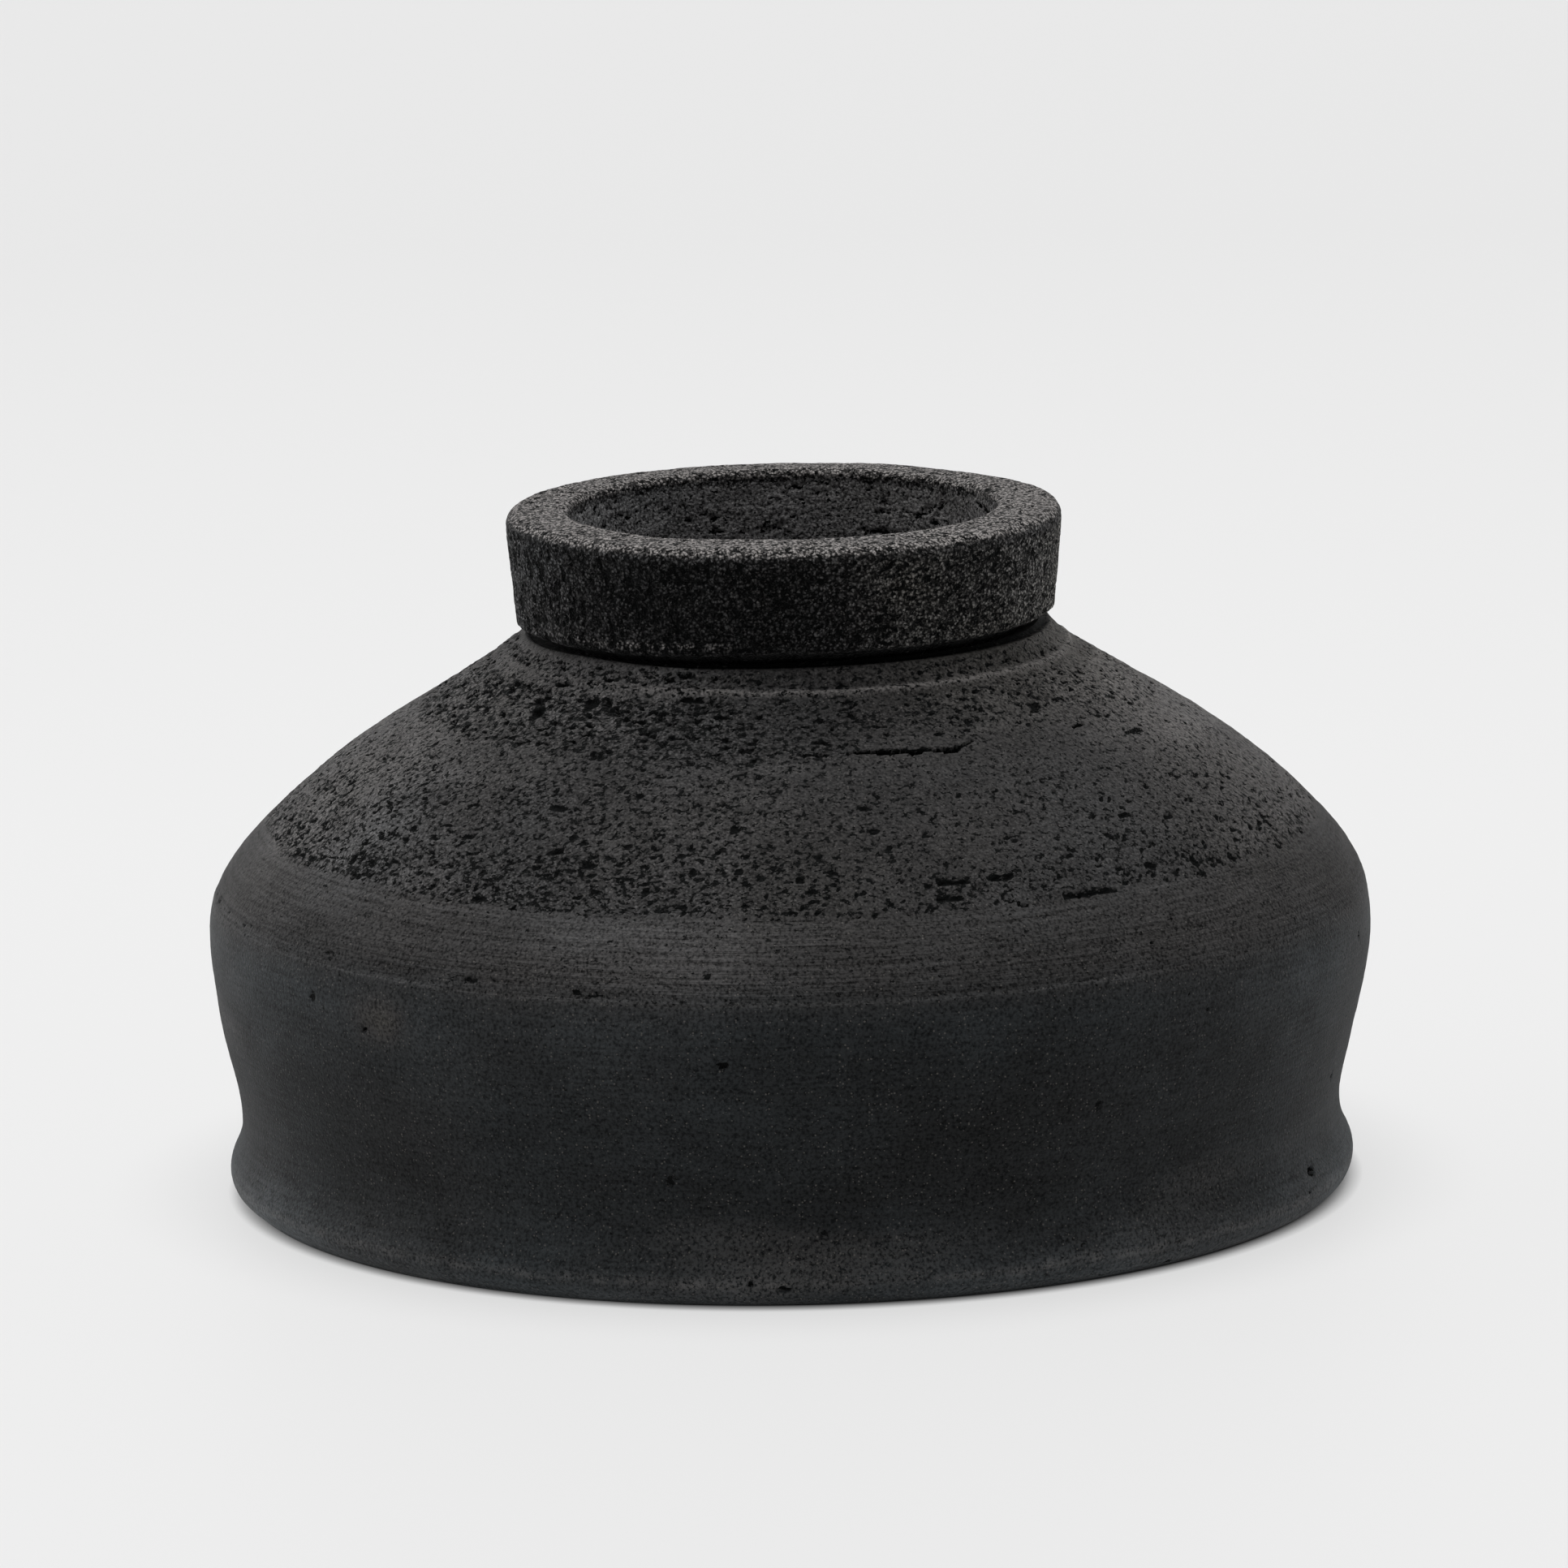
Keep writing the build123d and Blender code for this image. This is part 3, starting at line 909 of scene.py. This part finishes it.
def sand(tree, place, size, share):
    """1 on scattered grains of sand and 0 between them; this share of the cells has a grain."""
    cells = wire(tree, "ShaderNodeTexVoronoi", {"Vector": place, "Scale": 1 / size})
    picked = wire(tree, "ShaderNodeSeparateColor", {"Color": cells.outputs["Color"]})
    chosen = maths(tree, "LESS_THAN", picked.outputs[0], share)
    reach = spread(tree, picked.outputs[1], 0, 1, 0.16, 0.38)
    near = maths(tree, "LESS_THAN", cells.outputs["Distance"], reach)
    return maths(tree, "MULTIPLY", chosen, near)


# Sizes in metres
GRAIN_SIZE = 0.0008
CLOUD_SIZE = 0.011
LINE_SIZE = 0.0009
TEAR_SIZE = 0.0010
CRUMB_SIZE = 0.0008
SAND_SIZE = 0.0007
PIT_DEPTH = 0.0005
CRUMB_RISE = 0.0004
SAND_RISE = 0.00005

# The first colour is pale dust and also painted highlight; the last is painted shade for pits, tears
# and grooves.
DUST_AND_HIGHLIGHT, SAND, PAINTED_HOLLOW_SHADE = (0.350, 0.330, 0.320), (0.16, 0.15, 0.14), (0.0030, 0.0034, 0.0034)
COOL, PLAIN, WARM = (0.85, 1.0, 1.09), (1.01, 0.99, 1.0), (1.05, 1.01, 0.86)


def clay_patterns(tree, specks, crumble):
    """What the clay's grain is made of, as sockets from 0 to 1, with the tints of its points."""
    place = wire(tree, "ShaderNodeTexCoord", {}).outputs["Object"]
    painted = wire(tree, "ShaderNodeAttribute", {}, attribute_name="clay")
    parts = wire(tree, "ShaderNodeSeparateColor", {"Color": painted.outputs["Color"]})
    albedo, hue, hollow = parts.outputs
    coarse = wire(tree, "ShaderNodeAttribute", {}, attribute_name="coarse").outputs["Fac"]
    ragged = grain(tree, scaled(tree, place, (0.62, 0.62, 1.0)), TEAR_SIZE, 3.0, 0.65)
    deeper = maths(tree, "MULTIPLY_ADD", coarse, 0.085, ragged)
    deeper = maths(tree, "MULTIPLY_ADD", hollow, 0.28, deeper)
    crumb, tone = crumbs(tree, place, CRUMB_SIZE)
    return {
        "albedo": albedo,
        "hue": hue,
        "dust_and_highlight": painted.outputs["Alpha"],
        "fine": grain(tree, place, GRAIN_SIZE, 2.0, 0.6),
        "cloud": grain(tree, place, CLOUD_SIZE, 4.0),
        "level": grain(tree, scaled(tree, place, (0.03, 0.03, 1.0)), LINE_SIZE, 2.0),
        "pit": spread(tree, deeper, 0.640, 0.662),
        "crumb": crumb,
        "tone": tone,
        "crumbled": maths(tree, "MULTIPLY", coarse, crumble, clamp=True),
        "grit": sand(tree, place, SAND_SIZE, specks),
    }


def clay_colour(tree, grains, mottle, streaks):
    """Black clay in its own shade and hue, with dust and painted highlight, grains of sand, painted
    shade between its crumbs, and painted shade in its pits, tears and grooves.
    """
    uneven = spread(tree, grains["fine"], 0.32, 0.68, 1 - mottle, 1 + mottle)
    uneven = maths(tree, "ADD", uneven, spread(tree, grains["cloud"], 0.3, 0.7, -0.2, 0.2))
    uneven = maths(tree, "ADD", uneven, spread(tree, grains["level"], 0.3, 0.7, -streaks, streaks))
    # Painted highlight and shade on the crumbs: each is paler in its middle, by a random tone of its
    # own, and dark at its edges.
    bright = maths(tree, "MULTIPLY_ADD", grains["tone"], 3.12, 0.39)
    lit = maths(tree, "MULTIPLY_ADD", grains["crumb"], bright, -1.0)
    uneven = maths(tree, "MULTIPLY_ADD", grains["crumbled"], lit, uneven)
    albedo = maths(tree, "MULTIPLY", grains["albedo"], maths(tree, "MAXIMUM", uneven, 0.10))

    cool_to_plain = maths(tree, "MULTIPLY", grains["hue"], 2.0, clamp=True)
    plain_to_warm = maths(tree, "MULTIPLY_ADD", grains["hue"], 2.0, -1.0, clamp=True)
    colour = blend(tree, cool_to_plain, COOL, PLAIN)
    colour = blend(tree, plain_to_warm, colour, WARM)
    colour = blend(tree, 1.0, colour, albedo, "MULTIPLY")

    # The pale dust and painted highlight lie on the crumbs' middles.
    top = maths(tree, "MULTIPLY", grains["crumb"], spread(tree, grains["tone"], 0, 1, 0.8, 2.6))
    tops = spread(tree, grains["crumbled"], 0, 1, 1.0, top)
    worn_and_highlit = maths(tree, "MULTIPLY", grains["dust_and_highlight"], spread(tree, grains["fine"], 0.33, 0.55))
    colour = blend(tree, maths(tree, "MULTIPLY", worn_and_highlit, tops, clamp=True), colour, DUST_AND_HIGHLIGHT)
    colour = blend(tree, maths(tree, "MULTIPLY", grains["grit"], 0.45), colour, SAND)
    # Painted shade: the pits, tears and grooves are painted near black.
    return blend(tree, grains["pit"], colour, PAINTED_HOLLOW_SHADE)


def clay_rise(tree, grains, depth, lines):
    """Height of the clay's finest relief, in metres."""
    crumb = maths(tree, "MULTIPLY", grains["crumbled"], grains["crumb"])
    rise = maths(tree, "MULTIPLY", grains["fine"], depth)
    rise = maths(tree, "MULTIPLY_ADD", grains["pit"], -PIT_DEPTH, rise)
    rise = maths(tree, "MULTIPLY_ADD", crumb, CRUMB_RISE, rise)
    rise = maths(tree, "MULTIPLY_ADD", grains["level"], lines, rise)
    return maths(tree, "MULTIPLY_ADD", grains["grit"], SAND_RISE, rise)


def clay_material(name, roughness, mottle, streaks, lines, specks, depth=0.0003, crumble=0.0):
    """Black clay, tinted by its own attributes; lines and depth are the relief's, in metres."""
    material = bpy.data.materials.new(name)
    material.use_nodes = True
    tree = material.node_tree
    shader = tree.nodes["Principled BSDF"]
    grains = clay_patterns(tree, specks, crumble)
    rise = clay_rise(tree, grains, depth, lines)
    bumped = wire(tree, "ShaderNodeBump", {"Height": rise, "Distance": 1.0, "Strength": 1.0})
    dull = spread(tree, grains["fine"], 0.3, 0.7, *roughness)
    tree.links.new(clay_colour(tree, grains, mottle, streaks), shader.inputs["Base Color"])
    tree.links.new(dull, shader.inputs["Roughness"])
    tree.links.new(bumped.outputs["Normal"], shader.inputs["Normal"])
    shader.inputs["Specular IOR Level"].default_value = 0.05
    shader.inputs["Sheen Weight"].default_value = 0.05
    shader.inputs["Sheen Roughness"].default_value = 0.30
    return material


FINISHES = {
    "smoothed_clay": dict(
        roughness=(0.55, 0.75), mottle=0.5, streaks=0.22, lines=0.0002, specks=0.18),
    "scraped_clay": dict(
        roughness=(0.60, 0.80), mottle=0.6, streaks=0.42, lines=0.0006, specks=0.10),
    "coarse_clay": dict(
        roughness=(0.65, 0.85), mottle=0.4, streaks=0.12, lines=0.0001, specks=0.08, crumble=0.28),
    "wiped_clay": dict(
        roughness=(0.60, 0.80), mottle=0.5, streaks=0.20, lines=0.0002, specks=0.06, crumble=0.25),
    "collar_clay": dict(
        roughness=(0.65, 0.85), mottle=0.8, streaks=0.10, lines=0.0001, specks=0.12,
        depth=0.0004, crumble=1.0),
}
finishes = {name: clay_material(name, **finish) for name, finish in FINISHES.items()}
SLOTS = {
    "floor_slab": "wiped_clay", "foot_coil": "smoothed_clay", "lower_wall": "smoothed_clay",
    "belly_band": "scraped_clay", "lower_shoulder_coil": "coarse_clay",
    "upper_shoulder_coil": "coarse_clay", "neck_coil": "wiped_clay", "collar_ring": "collar_clay",
}
for node, piece in clay.items():
    piece.data.materials.append(finishes[SLOTS[node]])
    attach(piece, "root")
    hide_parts(node)


# ---------------------------------------------------------------- floor, light and camera

# Distances from the pot's axis are in metres
FLOOR_RADIUS = 20.0
FLOOR_COLOUR = (0.18, 0.18, 0.18)
GLOW_NEAR, GLOW_FAR = 0.60, 0.535
GLOW_NEAR_TO, GLOW_FAR_FROM = 0.5, 1.8
# Between these radii the floor's glow is cut off: a painted shadow round the foot.
UNDER_FOOT, CLEAR_OF_FOOT = 0.1405, 0.1475
FLOOR_DROP = 0.0001
FLOOR_SIDES = 96
PALE = (0.83, 0.83, 0.825, 1)


def make_floor():
    """A wide pale light table just under the pot, glowing a little brighter near it, and dark where
    the foot covers it and in a painted shadow just round the foot.
    """
    turn = np.arange(FLOOR_SIDES) * 2 * math.pi / FLOOR_SIDES
    ring = np.c_[np.cos(turn), np.sin(turn), 0 * turn] * FLOOR_RADIUS - [0, 0, FLOOR_DROP]
    mesh = bpy.data.meshes.new("studio_floor")
    mesh.from_pydata([tuple(p) for p in ring], [], [tuple(range(FLOOR_SIDES))])
    floor = bpy.data.objects.new("studio_floor", mesh)
    bpy.context.scene.collection.objects.link(floor)
    material = bpy.data.materials.new("studio_floor")
    material.use_nodes = True
    tree = material.node_tree
    shader = tree.nodes["Principled BSDF"]
    shader.inputs["Base Color"].default_value = (*FLOOR_COLOUR, 1)
    shader.inputs["Roughness"].default_value = 0.6
    shader.inputs["Specular IOR Level"].default_value = 0.1
    shader.inputs["Emission Color"].default_value = (1, 1, 1, 1)
    place = wire(tree, "ShaderNodeTexCoord", {}).outputs["Object"]
    away = wire(tree, "ShaderNodeVectorMath", {0: place}, operation="LENGTH").outputs["Value"]
    glow = spread(tree, away, GLOW_NEAR_TO, GLOW_FAR_FROM, GLOW_NEAR, GLOW_FAR)
    # Painted shadow: no glow under the foot and a little way round it.
    glow = maths(tree, "MULTIPLY", glow, spread(tree, away, UNDER_FOOT, CLEAR_OF_FOOT))
    tree.links.new(glow, shader.inputs["Emission Strength"])
    mesh.materials.append(material)


def make_world():
    """Studio walls: bright low down behind and at the left, dim in front and overhead."""
    world = bpy.data.worlds.new("studio")
    bpy.context.scene.world = world
    world.use_nodes = True
    tree = world.node_tree
    ray = wire(tree, "ShaderNodeTexCoord", {}).outputs["Generated"]
    parts = wire(tree, "ShaderNodeSeparateXYZ", {"Vector": ray})
    back = spread(tree, parts.outputs["Y"], -0.75, 0.35, 0.10, 0.95)
    left = spread(tree, parts.outputs["X"], -0.9, 0.9, 1.65, 0.68)
    low = spread(tree, parts.outputs["Z"], 0.25, 0.75, 1.0, 0.25)
    strength = maths(tree, "MULTIPLY", maths(tree, "MULTIPLY", back, left), low)
    lit = wire(tree, "ShaderNodeBackground", {"Color": (1, 1, 1, 1), "Strength": strength})
    seen = wire(tree, "ShaderNodeBackground", {"Color": PALE, "Strength": 1.0})
    direct = wire(tree, "ShaderNodeLightPath", {}).outputs["Is Camera Ray"]
    both = wire(tree, "ShaderNodeMixShader", {0: direct, 1: lit.outputs[0], 2: seen.outputs[0]})
    tree.links.new(both.outputs[0], tree.nodes["World Output"].inputs["Surface"])


def make_overhead(strength, spread_degrees):
    """A broad soft light straight above."""
    light = bpy.data.lights.new("overhead", "SUN")
    light.energy = strength
    light.angle = math.radians(spread_degrees)
    bpy.context.scene.collection.objects.link(bpy.data.objects.new("overhead", light))


CAMERA_ELEVATION = math.radians(10.96)
CAMERA_DISTANCE = 2.5635
CAMERA_ASIDE = -0.00110
CAMERA_AIM = 0.1035
CAMERA_LENS = 227.8
CAMERA_ROLL = math.radians(-1.069)


def make_camera():
    """A long lens a little above the pot, turned a hair about its own line of sight."""
    data = bpy.data.cameras.new("camera")
    data.lens = CAMERA_LENS
    data.sensor_width = 36
    data.clip_end = 100
    camera = bpy.data.objects.new("camera", data)
    bpy.context.scene.collection.objects.link(camera)
    back = Vector((0, -math.cos(CAMERA_ELEVATION), math.sin(CAMERA_ELEVATION)))
    camera.location = Vector((CAMERA_ASIDE, 0, CAMERA_AIM)) + CAMERA_DISTANCE * back
    camera.rotation_mode = "QUATERNION"
    aim = (-back).to_track_quat("-Z", "Y")
    camera.rotation_quaternion = aim @ Quaternion((0, 0, 1), CAMERA_ROLL)
    bpy.context.scene.camera = camera


make_floor()
make_world()
make_overhead(strength=3.0, spread_degrees=45)
make_camera()
bpy.context.scene.view_settings.view_transform = "Standard"
